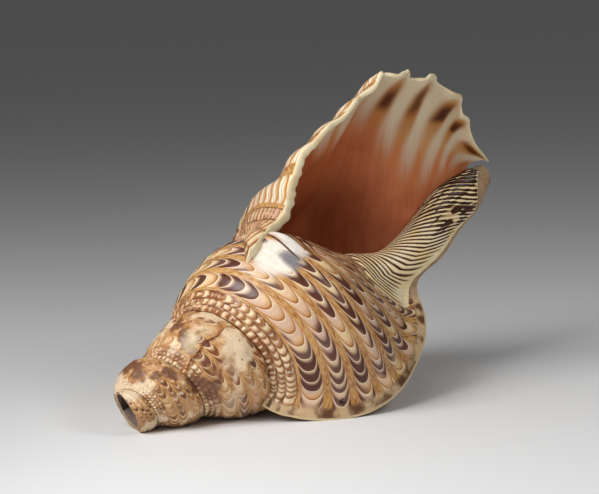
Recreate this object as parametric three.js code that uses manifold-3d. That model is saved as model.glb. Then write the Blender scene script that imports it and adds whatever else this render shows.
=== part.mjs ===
// Conch shell trumpet: one shell grown as one piece, its tip cut off as a blow hole.
// Millimetres, +Z up. The shell is drawn around its own axis (h runs from the apex to the canal)
// and is then laid on the floor the way it rests.

import * as THREE from 'three';
import { mergeVertices } from 'three/addons/utils/BufferGeometryUtils.js';
import Module from 'manifold-3d';

const DEG = Math.PI / 180;
const TURN = 2 * Math.PI;

// Growth per turn, across and along the axis, and the angle between the old lips (varices).
const GROWTH_R = 1.6147;
const GROWTH_H = 1.5931;
const VARIX_STEP = 240 * DEG;
const FLANGE_AT = -VARIX_STEP;

// One whorl's outline at the lip: [s, radius, h], from one seam (s = 0) to the next (s = 1).
const WHORL = [
  [0.0, 56.5, 175.0], [0.15, 68.1, 188.5], [0.4, 85.0, 211.6],
  [0.65, 94.0, 237.0], [0.85, 97.5, 258.0], [1.0, 56.5 * GROWTH_R, 175.0 * GROWTH_H],
];
const WHORL_END_SLOPE = [-77.0, 116.9];

// Outer edge of the flared lip: [s, radius, h], from the seam to the canal.
const LIP = [
  [0.0, 58, 153], [0.06, 60, 166], [0.12, 63.5, 179], [0.25, 76, 191], [0.38, 91, 199.5],
  [0.48, 101, 209], [0.6, 107.8, 226], [0.72, 111.3, 245], [0.86, 116.6, 263.7], [0.97, 121.5, 278.5],
  [1.08, 124, 290], [1.2, 121.5, 304], [1.32, 114.3, 315.5], [1.44, 108, 330], [1.56, 99, 341],
  [1.68, 84, 353], [1.79, 67, 360], [1.9, 46, 364], [2.0, 17, 380],
];
const LIP_FLARE = 95 * DEG;
const LIP_FLARE_POWER = 3.2;
const LIP_THICK = 7.5;
// Tips along the lip's edge: [s, count].
const LIP_TIPS = [
  [0.18, -1], [0.32, 0], [0.48, 1], [0.66, 2], [0.86, 3], [1.08, 4],
  [1.32, 5], [1.56, 6], [1.77, 7], [1.88, 8], [2.0, 9],
];
const FLUTE_REACH = 30 * DEG;

// Outer edge of the flange left by the last growth stop, running on as the margin of the inner lip.
const FLANGE = [
  [0.0, 42, 112], [0.1, 52, 114.5], [0.25, 66, 125], [0.4, 77, 138], [0.55, 85.5, 154],
  [0.7, 90.3, 172], [0.85, 89.5, 194], [1.0, 82, 216], [1.12, 70, 238], [1.25, 52, 256],
  [1.4, 36, 265], [1.55, 27.5, 280], [1.7, 24, 305], [1.8, 16, 327], [1.9, 10, 351], [2.0, -2, 376],
];
const FLANGE_RUN_IN = 0.03;
const SWELL = 60 * DEG;
const FIN = 9 * DEG;
const SWELL_SHARE = 0.55;
const OLD_FLANGES = [[2, 0.22], [3, 0.16], [4, 0.06], [5, 0.1]];
const CRACK_COUNT = 3;
const CRACK_AT = -683 * DEG;
const CRACK_BEND = 13 * DEG;

// Columella below the base: [h, centre offset, half width, half depth].
const NECK = [
  [225, -8, 24, 24], [240, -10, 19, 20], [255, -13, 15, 17], [278, -11.2, 13.2, 14], [304, -5.3, 13.8, 12.5],
  [326, 1.2, 14.3, 11], [349, 4.4, 14, 9.5], [365, 7, 10.8, 8], [378, 10.5, 6.5, 7],
];
const NECK_JOIN = 0.55;
const NECK_JOIN_H = 250;
const CORE_END_H = 376;
const WALL_END_H = 367;

// Last whorl's wall.
const WALL_START = -252 * DEG;
const WALL = 3.2;
const WALL_ROOT = 0.05;
const WALL_GAP = 2.6;
const ROOT_TUCK = 1.6;
const ROOT_RISE = 8;
const ROOT_REACH = 8 * DEG;
const CANAL_GAP = 9;
const CANAL_OPENS = -80 * DEG;
const SETTLE_SPAN = 115 * DEG;
const SETTLE_DROP = 11;
const WAIST_SPAN = 95 * DEG;
const WAIST_IN = 12;
const NIP_IN = 15.5;
const BURIED = 8.5;

// Callus that swells the body beside the mouth.
const CALLUS_AT = -352 * DEG;
const CALLUS_RISE = 5;

// Hollows: [angle, half span, depth] under the last wall, and under and beside the turns before.
// The last one stands out around the tip.
const WALL_FLAT = [-205 * DEG, 60 * DEG, 7];
const TURN_DENTS = [[-548 * DEG, 38 * DEG, 3], [-765 * DEG, 60 * DEG, 3.2], [-1150 * DEG, 190 * DEG, -3.4]];

// Bore behind the last whorl: centre and half axes at the flange.
const BORE_CENTRE = [40, 176];
const BORE_HALF = [14.5, 31];
const BORE_FROM = -1200 * DEG;
const BORE_TO = -228 * DEG;

// Cut tip, and the round blow hole with a domed end.
const TIP_H = 39;
const TIP_LEAN = 16 * DEG;
const TIP_LEAN_CLOCK = 100 * DEG;
const BLOW_HOLE_R = 12;
const BLOW_HOLE_DEPTH = 13;

// How the shell lies: rise of its axis, roll about it, depth of the worn resting spots.
const LIP_CLOCK = 45 * DEG;
const AXIS_RISE = 19.8 * DEG;
const AXIS_ROLL = -34.15 * DEG;
const WORN = 1.25;

// Mesh steps.
const STEP = 9 * DEG;
const WHORLS = 4;
const WHORL_ROWS = 6;
const BASE_ROWS = 11;
const WALL_SIDES = [-WALL_ROOT, 0, 0.05, 0.1, 0.2, 0.3, 0.4, 0.5, 0.6];
const LIP_ROWS = 21;
const BORE_STEP = 18 * DEG;
const BORE_SIDES = 8;
const BLOW_HOLE_SIDES = 24;
const FINEST = 0.02;

// Curves

function splineThrough(points, endSlope) {
  // Cubic spline through [x, a, b, ...] rows; natural ends unless the last slope is given.
  const n = points.length;
  const width = points[0].length - 1;
  const x = points.map((p) => p[0]);
  const gap = x.slice(1).map((v, i) => v - x[i]);
  const second = [];
  for (let c = 0; c < width; c += 1) {
    const y = points.map((p) => p[c + 1]);
    const low = new Array(n).fill(0);
    const mid = new Array(n).fill(1);
    const high = new Array(n).fill(0);
    const rhs = new Array(n).fill(0);
    for (let i = 1; i < n - 1; i += 1) {
      low[i] = gap[i - 1];
      mid[i] = 2 * (gap[i - 1] + gap[i]);
      high[i] = gap[i];
      rhs[i] = 6 * ((y[i + 1] - y[i]) / gap[i] - (y[i] - y[i - 1]) / gap[i - 1]);
    }
    if (endSlope) {
      low[n - 1] = gap[n - 2];
      mid[n - 1] = 2 * gap[n - 2];
      rhs[n - 1] = 6 * (endSlope[c] - (y[n - 1] - y[n - 2]) / gap[n - 2]);
    }
    for (let i = 1; i < n; i += 1) {
      const f = low[i] / mid[i - 1];
      mid[i] -= f * high[i - 1];
      rhs[i] -= f * rhs[i - 1];
    }
    const m = new Array(n).fill(0);
    m[n - 1] = rhs[n - 1] / mid[n - 1];
    for (let i = n - 2; i >= 0; i -= 1) {
      m[i] = (rhs[i] - high[i] * m[i + 1]) / mid[i];
    }
    second.push(m);
  }
  return (at) => {
    let k = 0;
    while (k < n - 2 && at > x[k + 1]) {
      k += 1;
    }
    const a = (x[k + 1] - at) / gap[k];
    const b = (at - x[k]) / gap[k];
    const bend = (gap[k] * gap[k]) / 6;
    return second.map((m, c) => a * points[k][c + 1] + b * points[k + 1][c + 1]
      + ((a ** 3 - a) * m[k] + (b ** 3 - b) * m[k + 1]) * bend);
  };
}

const whorlCurve = splineThrough(WHORL, WHORL_END_SLOPE);
const lipCurve = splineThrough(LIP);
const flangeCurve = splineThrough(FLANGE);
const neckCurve = splineThrough(NECK);
const tipCurve = splineThrough(LIP_TIPS);

const clamp01 = (v) => Math.min(1, Math.max(0, v));

function ease(v, from, to) {
  const t = clamp01((v - from) / (to - from));
  return t * t * (3 - 2 * t);
}

// Points around the shell's own axis

function spoke(theta) {
  return new THREE.Vector3(Math.cos(theta + LIP_CLOCK), Math.sin(theta + LIP_CLOCK), 0);
}

function polar(radius, h, theta) {
  const p = spoke(theta).multiplyScalar(radius);
  p.z = h;
  return p;
}

function push(p, theta, out, down) {
  p.addScaledVector(spoke(theta), out);
  p.z += down;
  return p;
}

const growR = (theta) => GROWTH_R ** (theta / TURN);
const growH = (theta) => GROWTH_H ** (theta / TURN);

function bump(v, centre, half) {
  // A smooth hump, 1 at its centre and 0 beyond half.
  return Math.abs(v - centre) < half ? Math.cos(((v - centre) / half) * (Math.PI / 2)) ** 2 : 0;
}

function whorlPoint(theta, s) {
  const [r, h] = whorlCurve(s);
  return polar(r * growR(theta), h * growH(theta), theta);
}

function neckPoint(theta, h, gap) {
  const [centre, halfWidth, halfDepth] = neckCurve(h);
  const a = theta + LIP_CLOCK;
  return new THREE.Vector3(centre + (halfWidth + gap) * Math.cos(a), (halfDepth + gap) * Math.sin(a), h);
}

function basePoint(theta, v, gap, rise, endH, fill) {
  // From a whorl's lower end (v = 0) round its base to the end of the canal (v = 1).
  const start = whorlPoint(theta, 1);
  const joinH = Math.max(NECK_JOIN_H, start.z + rise);
  if (v > NECK_JOIN) {
    const along = (v - NECK_JOIN) / (1 - NECK_JOIN);
    return neckPoint(theta, joinH + (endH - joinH) * along, gap);
  }
  const join = neckPoint(theta, joinH, gap);
  const reach = join.distanceTo(start) * fill;
  const leave = polar(WHORL_END_SLOPE[0] * growR(theta), WHORL_END_SLOPE[1] * growH(theta), theta);
  leave.normalize().multiplyScalar(reach * 1.1);
  const arrive = neckPoint(theta, joinH + 1, gap).sub(join).normalize().multiplyScalar(reach);
  const u = v / NECK_JOIN;
  return start.multiplyScalar(2 * u ** 3 - 3 * u ** 2 + 1)
    .addScaledVector(leave, u ** 3 - 2 * u ** 2 + u)
    .addScaledVector(join, -2 * u ** 3 + 3 * u ** 2)
    .addScaledVector(arrive, u ** 3 - u ** 2);
}

function edgeOffset(curve, s, plain, theta) {
  // How far an edge curve lies outside the plain surface: [outward, along the axis].
  const [r, h] = curve(s);
  return [r - plain.dot(spoke(theta)), h - plain.z];
}

// The growth up to the flange

function corePlain(theta, s) {
  return s <= 1 ? whorlPoint(theta, s) : basePoint(theta, s - 1, 0, 60, CORE_END_H, 0.9);
}

function swell(theta, at) {
  const back = theta - at;
  if (back > 1e-9) {
    return 0;
  }
  const slow = clamp01((back + SWELL) / SWELL) ** 2;
  const fin = clamp01((back + FIN) / FIN) ** 1.3;
  return SWELL_SHARE * slow + (1 - SWELL_SHARE) * fin;
}

function crackLine(s) {
  // The bent edge of the old lip on the spire.
  return CRACK_AT + CRACK_BEND * Math.max(1 - 2 * s, 0) ** 1.5;
}

function corePoint(theta, s) {
  const p = corePlain(theta, s);
  const [out, down] = edgeOffset(flangeCurve, s, corePlain(FLANGE_AT, s), FLANGE_AT);
  const now = swell(theta, FLANGE_AT) * ease(s, 0, FLANGE_RUN_IN);
  push(p, theta, now * out, now * down);
  const fade = Math.sin(clamp01(s) * Math.PI) ** 0.5;
  for (const [count, amount] of OLD_FLANGES) {
    const at = count === CRACK_COUNT ? crackLine(s) : count * FLANGE_AT;
    const old = swell(theta, at) * amount * fade * growR((count - 1) * FLANGE_AT);
    push(p, theta, old * out, old * down);
  }
  for (const [at, half, depth] of TURN_DENTS) {
    push(p, theta, -depth * bump(theta, at, half) * fade, 0);
  }
  push(p, theta, CALLUS_RISE * bump(theta, CALLUS_AT, 24 * DEG) * bump(s, 1.0, 0.32), 0);
  return p;
}

// The last whorl's outside, from the flange to the flared lip

function wallPlain(theta, s) {
  if (s <= 1) {
    return whorlPoint(theta, s);
  }
  const buried = BURIED * (1 - ease(theta, WALL_START, -200 * DEG));
  const gap = WALL_GAP + CANAL_GAP * ease(theta, CANAL_OPENS, 0) - buried;
  return basePoint(theta, s - 1, gap, 62, WALL_END_H, 0.95);
}

function wallPoint(theta, s) {
  const p = wallPlain(theta, s);
  const settle = bump(theta, -SETTLE_SPAN / 2, SETTLE_SPAN / 2) * (1 - ease(s, 0.7, 1.4));
  const waist = bump(theta, -WAIST_SPAN / 2, WAIST_SPAN / 2) * bump(s, 0.85, 0.75);
  const nipSpan = ease(-theta, 0, 20 * DEG) * (1 - ease(-theta, 85 * DEG, 150 * DEG));
  const nip = nipSpan * ease(s, 0.27, 0.6) * (1 - ease(s, 0.85, 1.15));
  push(p, theta, -WAIST_IN * waist - NIP_IN * nip, SETTLE_DROP * settle);
  const [out, down] = edgeOffset(lipCurve, s, wallPlain(0, s), 0);
  const flare = Math.max(theta / LIP_FLARE + 1, 0) ** LIP_FLARE_POWER;
  push(p, theta, flare * out, flare * down);
  const raised = ROOT_RISE * ease(theta, -20 * DEG, 0) * (1 - ease(s, 0.02, 0.2));
  const tucked = ROOT_TUCK * (1 - ease(s, 0, 0.14)) - raised;
  const [at, half, depth] = WALL_FLAT;
  push(p, theta, -tucked - depth * bump(theta, at, half) * (1 - ease(s, 1.0, 1.6)), 0);
  return p;
}

// Closed meshes from points and faces

class Builder {
  constructor() {
    this.points = [];
    this.faces = [];
  }

  add(p) {
    this.points.push(p.x, p.y, p.z);
    return this.points.length / 3 - 1;
  }

  tri(a, b, c) {
    this.faces.push(a, b, c);
  }

  quad(a, b, c, d) {
    this.tri(a, b, c);
    this.tri(a, c, d);
  }

  solid(wasm) {
    const geometry = new THREE.BufferGeometry();
    geometry.setAttribute('position', new THREE.Float32BufferAttribute(this.points, 3));
    geometry.setIndex(this.faces);
    const merged = mergeVertices(geometry, 1e-4);
    const faces = [];
    const index = merged.index.array;
    for (let i = 0; i < index.length; i += 3) {
      const [a, b, c] = [index[i], index[i + 1], index[i + 2]];
      if (a !== b && b !== c && c !== a) {
        faces.push(a, b, c);
      }
    }
    return new wasm.Manifold(new wasm.Mesh({
      numProp: 3,
      vertProperties: new Float32Array(merged.attributes.position.array),
      triVerts: new Uint32Array(faces),
    }));
  }
}

function coreSolid(wasm) {
  // Columns of points from the apex to the canal, one full turn of them, ending at the flange.
  const mesh = new Builder();
  const columns = Math.round(TURN / STEP);
  const rows = [];
  for (let whorl = WHORLS; whorl >= 1; whorl -= 1) {
    for (let j = 0; j < WHORL_ROWS; j += 1) {
      rows.push([whorl, j / WHORL_ROWS]);
    }
  }
  for (let j = 0; j <= BASE_ROWS; j += 1) {
    rows.push([1, 1 + j / BASE_ROWS]);
  }
  const grid = [];
  for (let c = 0; c <= columns; c += 1) {
    const clock = FLANGE_AT + c * STEP;
    grid.push(rows.map(([whorl, s]) => mesh.add(corePoint(clock - whorl * TURN, s))));
  }
  const last = rows.length - 1;
  for (let c = 0; c < columns; c += 1) {
    for (let j = 0; j < last; j += 1) {
      mesh.quad(grid[c][j], grid[c + 1][j], grid[c + 1][j + 1], grid[c][j + 1]);
    }
  }
  // Step face under the flange: from its whole edge to the base of the turn before.
  const flangeStart = (WHORLS - 1) * WHORL_ROWS;
  const baseStart = WHORLS * WHORL_ROWS;
  const edge = grid[columns].slice(flangeStart);
  const inner = grid[0].slice(baseStart);
  for (let j = 0; j < edge.length - 1; j += 1) {
    const k = Math.max(0, j - WHORL_ROWS);
    if (j < WHORL_ROWS) {
      mesh.tri(edge[j], inner[0], edge[j + 1]);
    } else {
      mesh.quad(edge[j], inner[k], inner[k + 1], edge[j + 1]);
    }
  }
  // Ends: the apex above the cut, and the tip of the canal.
  const apex = mesh.add(new THREE.Vector3(0, 0, whorlPoint(-WHORLS * TURN + FLANGE_AT, 0).z - 6));
  for (let c = 0; c < columns; c += 1) {
    mesh.tri(apex, grid[c + 1][0], grid[c][0]);
  }
  for (let j = 0; j < WHORL_ROWS; j += 1) {
    mesh.tri(apex, grid[0][j], grid[0][j + 1]);
  }
  const [centre] = neckCurve(CORE_END_H);
  const tip = mesh.add(new THREE.Vector3(centre, 0, CORE_END_H + 2));
  for (let c = 0; c < columns; c += 1) {
    mesh.tri(tip, grid[c][last], grid[c + 1][last]);
  }
  mesh.tri(tip, grid[columns][last], grid[0][last]);
  return mesh.solid(wasm);
}

function clampSide(s) {
  return Math.min(1.995, Math.max(0.005, s));
}

function lipEnd(s) {
  // Angle at which the wall ends: a little later at its root and beside the canal.
  const canal = 2.8 * ease(s, 1.6, 1.77) + 2.6 * ease(s, 1.8, 1.88) - 2 * ease(s, 1.9, 2);
  return canal * DEG + ROOT_REACH * (1 - ease(s, 0, 0.12));
}

function lipFlute(theta, s) {
  // The lip's waves, a rib outside at each tip.
  const [n] = tipCurve(s);
  const near = 1 - ease(-theta, 0, FLUTE_REACH);
  const depth = 0.7 + 1.5 * ease(s, 0.75, 1.1) * (1 - 0.6 * ease(s, 1.85, 2.0));
  return depth * near * Math.cos(TURN * n) * ease(s, 0.1, 0.3);
}

function wallThickness(theta, s) {
  const near = 1 - ease(-theta, 0, 16 * DEG);
  return WALL + near * (LIP_THICK - WALL) * (1 - ease(s, 0.2, 0.8));
}

function wallSolid(wasm) {
  // A sheet, thicker along the lip's upper edge, with its root buried under the seam and under the flange.
  const mesh = new Builder();
  const columns = Math.round(-WALL_START / STEP);
  const sides = [...WALL_SIDES];
  const lastPlain = sides[sides.length - 1];
  for (let j = 1; j <= LIP_ROWS; j += 1) {
    sides.push(lastPlain + (2 - lastPlain) * (j / LIP_ROWS));
  }
  const rows = sides.length - 1;
  const tiny = 1e-3;
  const outside = [];
  const inside = [];
  for (let i = 0; i <= columns; i += 1) {
    const outRow = [];
    const inRow = [];
    for (const s of sides) {
      const held = Math.max(s, 0);
      const theta = WALL_START + (lipEnd(held) - WALL_START) * (i / columns);
      const p = wallPoint(theta, held);
      const grow = wallPoint(theta + tiny, held).sub(wallPoint(theta - tiny, held));
      const side = clampSide(s);
      const run = wallPoint(theta, side + tiny).sub(wallPoint(theta, side - tiny));
      const normal = grow.cross(run).normalize();
      if (s < 0) {
        p.addScaledVector(run.normalize(), s * 100).addScaledVector(normal, s * 130);
      }
      p.addScaledVector(normal, lipFlute(theta, held));
      outRow.push(mesh.add(p));
      inRow.push(mesh.add(p.clone().addScaledVector(normal, -wallThickness(theta, held))));
    }
    outside.push(outRow);
    inside.push(inRow);
  }
  for (let i = 0; i < columns; i += 1) {
    for (let j = 0; j < rows; j += 1) {
      mesh.quad(outside[i][j], outside[i + 1][j], outside[i + 1][j + 1], outside[i][j + 1]);
      mesh.quad(inside[i][j], inside[i][j + 1], inside[i + 1][j + 1], inside[i + 1][j]);
    }
    mesh.quad(outside[i][0], inside[i][0], inside[i + 1][0], outside[i + 1][0]);
    mesh.quad(outside[i][rows], outside[i + 1][rows], inside[i + 1][rows], inside[i][rows]);
  }
  for (let j = 0; j < rows; j += 1) {
    mesh.quad(outside[0][j], outside[0][j + 1], inside[0][j + 1], inside[0][j]);
    const k = columns;
    mesh.quad(outside[k][j], inside[k][j], inside[k][j + 1], outside[k][j + 1]);
  }
  return mesh.solid(wasm);
}

function boreSolid(wasm) {
  const mesh = new Builder();
  const count = Math.round((BORE_TO - BORE_FROM) / BORE_STEP);
  const rings = [];
  const centres = [];
  for (let i = 0; i <= count; i += 1) {
    const theta = BORE_FROM + (BORE_TO - BORE_FROM) * (i / count);
    const scaleR = growR(theta - FLANGE_AT);
    const scaleH = growH(theta - FLANGE_AT);
    const ring = [];
    for (let k = 0; k < BORE_SIDES; k += 1) {
      const a = (TURN * k) / BORE_SIDES;
      const r = (BORE_CENTRE[0] + BORE_HALF[0] * Math.cos(a)) * scaleR;
      const h = (BORE_CENTRE[1] + BORE_HALF[1] * Math.sin(a)) * scaleH;
      ring.push(mesh.add(polar(r, h, theta)));
    }
    rings.push(ring);
    centres.push(polar(BORE_CENTRE[0] * scaleR, BORE_CENTRE[1] * scaleH, theta));
  }
  for (let i = 0; i < count; i += 1) {
    for (let k = 0; k < BORE_SIDES; k += 1) {
      const n = (k + 1) % BORE_SIDES;
      mesh.quad(rings[i][k], rings[i + 1][k], rings[i + 1][n], rings[i][n]);
    }
  }
  const first = mesh.add(centres[0]);
  const end = mesh.add(centres[count]);
  for (let k = 0; k < BORE_SIDES; k += 1) {
    const n = (k + 1) % BORE_SIDES;
    mesh.tri(first, rings[0][k], rings[0][n]);
    mesh.tri(end, rings[count][n], rings[count][k]);
  }
  return mesh.solid(wasm);
}

// Laying the shell on the floor

function restingFrame() {
  const axis = new THREE.Vector3(Math.cos(AXIS_RISE), 0, Math.sin(AXIS_RISE));
  const up = new THREE.Vector3(-Math.sin(AXIS_RISE), 0, Math.cos(AXIS_RISE));
  const side = axis.clone().cross(up);
  const first = up.multiplyScalar(Math.cos(AXIS_ROLL)).addScaledVector(side, Math.sin(AXIS_ROLL));
  const second = axis.clone().cross(first);
  return new THREE.Matrix4().makeBasis(first, second, axis);
}

function makeShell(wasm) {
  const { Manifold } = wasm;
  const leanDir = new THREE.Vector3(Math.cos(TIP_LEAN_CLOCK), Math.sin(TIP_LEAN_CLOCK), 0);
  const cutNormal = new THREE.Vector3(0, 0, Math.cos(TIP_LEAN)).addScaledVector(leanDir, Math.sin(TIP_LEAN));
  const tip = new THREE.Vector3(0, 0, TIP_H);
  const dome = Manifold.sphere(BLOW_HOLE_R, BLOW_HOLE_SIDES).translate([0, 0, TIP_H + BLOW_HOLE_DEPTH]);
  const hole = Manifold.cylinder(2 * BLOW_HOLE_DEPTH, BLOW_HOLE_R, BLOW_HOLE_R, BLOW_HOLE_SIDES)
    .translate([0, 0, TIP_H - BLOW_HOLE_DEPTH]).add(dome);
  const grown = coreSolid(wasm).subtract(boreSolid(wasm)).add(wallSolid(wasm));
  const cut = grown.subtract(hole).trimByPlane(cutNormal.toArray(), cutNormal.dot(tip));
  const laid = cut.transform(restingFrame().toArray());
  const box = laid.boundingBox();
  const seated = laid.translate([0, 0, -box.min[2] - WORN]).trimByPlane([0, 0, 1], 0).simplify(FINEST);
  const now = seated.boundingBox();
  return seated.translate([-(now.min[0] + now.max[0]) / 2, -(now.min[1] + now.max[1]) / 2, 0]);
}

const wasm = await Module();
wasm.setup();
const shellMesh = makeShell(wasm).getMesh();
const shape = new THREE.BufferGeometry();
shape.setAttribute('position', new THREE.Float32BufferAttribute(shellMesh.vertProperties, 3));
shape.setIndex(Array.from(shellMesh.triVerts));
const shell = new THREE.Mesh(
  shape,
  new THREE.MeshStandardMaterial({ color: 0xd9bfa3, roughness: 0.42, metalness: 0 }),
);
shell.name = 'shell';

const part = new THREE.Group();
part.name = 'conch_shell_trumpet';
part.add(shell);
export default part;
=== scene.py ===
"""Conch shell trumpet: a triton shell with its tip cut off as a blow hole, lying on a pale floor.

The surfaces are drawn in millimetres around the shell's own axis (h runs from the apex to the canal)
and are then laid in the row frame, in metres.
"""

import math

import bmesh
import bpy
import numpy as np
from mathutils import Euler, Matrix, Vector


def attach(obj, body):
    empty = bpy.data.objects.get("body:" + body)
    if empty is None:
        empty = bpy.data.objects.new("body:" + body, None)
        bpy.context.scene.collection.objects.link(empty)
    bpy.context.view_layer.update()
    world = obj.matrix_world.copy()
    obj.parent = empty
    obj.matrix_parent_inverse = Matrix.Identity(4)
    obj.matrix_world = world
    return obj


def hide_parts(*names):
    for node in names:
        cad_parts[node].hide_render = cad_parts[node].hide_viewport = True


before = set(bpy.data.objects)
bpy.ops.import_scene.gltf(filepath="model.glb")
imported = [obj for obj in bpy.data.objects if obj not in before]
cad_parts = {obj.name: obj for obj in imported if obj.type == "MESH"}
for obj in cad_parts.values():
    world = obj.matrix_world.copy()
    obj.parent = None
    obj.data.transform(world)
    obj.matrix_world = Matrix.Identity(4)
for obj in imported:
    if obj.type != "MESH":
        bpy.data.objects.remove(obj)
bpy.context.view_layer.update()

DEG = math.pi / 180
TURN = 2 * math.pi
MM = 0.001

# Growth per turn, across and along the axis, and the angle between the old lips (varices).
GROWTH_R = 1.6147
GROWTH_H = 1.5931
FLANGE_AT = -240 * DEG
LIP_CLOCK = 45 * DEG

# One whorl's outline at the lip: (s, radius, h), from one seam (s = 0) to the next (s = 1).
WHORL = [
    (0.0, 56.5, 175.0),
    (0.15, 68.1, 188.5),
    (0.4, 85.0, 211.6),
    (0.65, 94.0, 237.0),
    (0.85, 97.5, 258.0),
    (1.0, 56.5 * GROWTH_R, 175.0 * GROWTH_H),
]
WHORL_END_SLOPE = (-77.0, 116.9)

# Outer edge of the flared lip: (s, radius, h), from the seam to the canal.
LIP = [
    (0.0, 58, 153), (0.06, 60, 166), (0.12, 63.5, 179), (0.25, 76, 191), (0.38, 91, 199.5),
    (0.48, 101, 209), (0.6, 107.8, 226), (0.72, 111.3, 245), (0.86, 116.6, 263.7), (0.97, 121.5, 278.5),
    (1.08, 124, 290), (1.2, 121.5, 304), (1.32, 114.3, 315.5), (1.44, 108, 330), (1.56, 99, 341),
    (1.68, 84, 353), (1.79, 67, 360), (1.9, 46, 364), (2.0, 17, 380),
]
LIP_FLARE = 95 * DEG
LIP_FLARE_POWER = 3.2
# Tips along the lip's edge: (s, count).
LIP_TIPS = [
    (0.18, -1), (0.32, 0), (0.48, 1), (0.66, 2), (0.86, 3), (1.08, 4),
    (1.32, 5), (1.56, 6), (1.77, 7), (1.88, 8), (2.0, 9),
]

# Outer edge of the flange left by the last growth stop, running on as the margin of the inner lip.
FLANGE = [
    (0.0, 42, 112), (0.1, 52, 114.5), (0.25, 66, 125), (0.4, 77, 138), (0.55, 85.5, 154),
    (0.7, 90.3, 172), (0.85, 89.5, 194), (1.0, 82, 216), (1.12, 70, 238), (1.25, 52, 256),
    (1.4, 36, 265), (1.55, 27.5, 280), (1.7, 24, 305), (1.8, 16, 327), (1.9, 10, 351), (2.0, -2, 376),
]
FLANGE_RUN_IN = 0.03
SWELL = 60 * DEG
FIN = 9 * DEG
SWELL_SHARE = 0.55
OLD_FLANGES = [(2, 0.22), (3, 0.16), (4, 0.06), (5, 0.1)]

# Crack left by an old lip on the spire, in degrees: its bend at the seam and its waves,
# (height, rate, shift) each.
CRACK_COUNT = 3
CRACK_AT = -683
CRACK_BEND = 13
CRACK_BEND_POWER = 1.5
CRACK_WAVES = [(1.2, 20, 0.6), (0.5, 47, 0)]

# Columella below the base: (h, centre offset, half width, half depth).
NECK = [
    (225, -8, 24, 24), (240, -10, 19, 20), (255, -13, 15, 17),
    (278, -11.2, 13.2, 14), (304, -5.3, 13.8, 12.5), (326, 1.2, 14.3, 11),
    (349, 4.4, 14, 9.5), (365, 7, 10.8, 8), (378, 10.5, 6.5, 7),
]
NECK_JOIN = 0.55
NECK_JOIN_H = 250
CORE_END_H = 376
WALL_END_H = 367

# Last whorl's wall.
WALL_START = -252 * DEG
WALL = 3.2
WALL_GAP = 2.6
ROOT_TUCK = 1.6
ROOT_RISE = 8
CANAL_GAP = 9
CANAL_OPENS = -80 * DEG
SETTLE_SPAN = 115 * DEG
SETTLE_DROP = 11
WAIST_SPAN = 95 * DEG
WAIST_IN = 12
NIP_IN = 15.5
BURIED = 8.5

# Callus that swells the body beside the mouth.
CALLUS_AT = -352 * DEG
CALLUS_SPAN = 24 * DEG
CALLUS_RISE = 5

# Hollows: (angle, half span, depth) under the last wall, and under and beside the turns before.
# The last one stands out around the tip.
WALL_FLAT = (-205 * DEG, 60 * DEG, 7)
TURN_DENTS = [(-548 * DEG, 38 * DEG, 3), (-765 * DEG, 60 * DEG, 3.2), (-1150 * DEG, 190 * DEG, -3.4)]

# Bore behind the last whorl: centre and half axes at the flange.
BORE_CENTRE = (40, 176)
BORE_HALF = (14.5, 31)
BORE_FROM = -1200 * DEG
BORE_TO = -228 * DEG

# Cut tip and blow hole.
TIP_H = 39
TIP_LEAN = 16 * DEG
TIP_LEAN_CLOCK = 100 * DEG
BLOW_HOLE_R = 12
BLOW_HOLE_H = TIP_H + 13

# Where the shell lies in the row frame: its apex and the rise and roll of its axis.
APEX = np.array((-191.7559, -1.8097, 0.7181))
AXIS_RISE = 19.8 * DEG
AXIS_ROLL = -34.15 * DEG

# Spiral cords: (s, count), the three beaded ones under the seam first.
CORDS = [
    (-0.05, -3), (0.035, -2), (0.1, -1), (0.16, 0), (0.31, 1), (0.5, 2), (0.68, 3), (0.83, 4),
    (0.95, 5), (1.06, 6), (1.16, 7), (1.25, 8), (1.33, 9), (1.5, 11), (1.75, 14), (2.0, 17),
]


# Curves


def spline(knots, end_slope=None):
    """Cubic spline through rows of (x, a, b, ...); natural at its ends unless the last slope is given."""
    table = np.array(knots, float)
    x = table[:, 0]
    y = table[:, 1:]
    count = len(x)
    gap = np.diff(x)
    system = np.eye(count)
    right = np.zeros_like(y)
    for i in range(1, count - 1):
        system[i, i - 1 : i + 2] = gap[i - 1], 2 * (gap[i - 1] + gap[i]), gap[i]
        right[i] = 6 * ((y[i + 1] - y[i]) / gap[i] - (y[i] - y[i - 1]) / gap[i - 1])
    if end_slope is not None:
        system[-1, -2:] = gap[-1], 2 * gap[-1]
        right[-1] = 6 * (np.array(end_slope) - (y[-1] - y[-2]) / gap[-1])
    bend = np.linalg.solve(system, right)

    def at(v):
        k = np.clip(np.searchsorted(x, v) - 1, 0, count - 2)
        b = ((v - x[k]) / gap[k])[..., None]
        a = 1 - b
        curve = (a**3 - a) * bend[k] + (b**3 - b) * bend[k + 1]
        return a * y[k] + b * y[k + 1] + curve * (gap[k] ** 2 / 6)[..., None]

    return at


whorl_curve = spline(WHORL, WHORL_END_SLOPE)
lip_curve = spline(LIP)
flange_curve = spline(FLANGE)
neck_curve = spline(NECK)
cord_curve = spline(CORDS)
tip_curve = spline(LIP_TIPS)


def ease(v, start, end):
    t = np.clip((v - start) / (end - start), 0, 1)
    return t * t * (3 - 2 * t)


def bump(v, centre, half):
    """A smooth hump, 1 at its centre and 0 beyond half."""
    return np.cos(np.clip((v - centre) / half, -1, 1) * (math.pi / 2)) ** 2


# Points around the shell's own axis. All take arrays of the same shape.


def spoke(theta):
    a = theta + LIP_CLOCK
    return np.stack([np.cos(a), np.sin(a), np.zeros_like(a)], -1)


def polar(radius, h, theta):
    p = spoke(theta) * radius[..., None]
    p[..., 2] = h
    return p


def push(p, theta, out, down):
    """Moves points outward from the axis and along it."""
    moved = p + spoke(theta) * out[..., None]
    moved[..., 2] += down
    return moved


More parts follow.
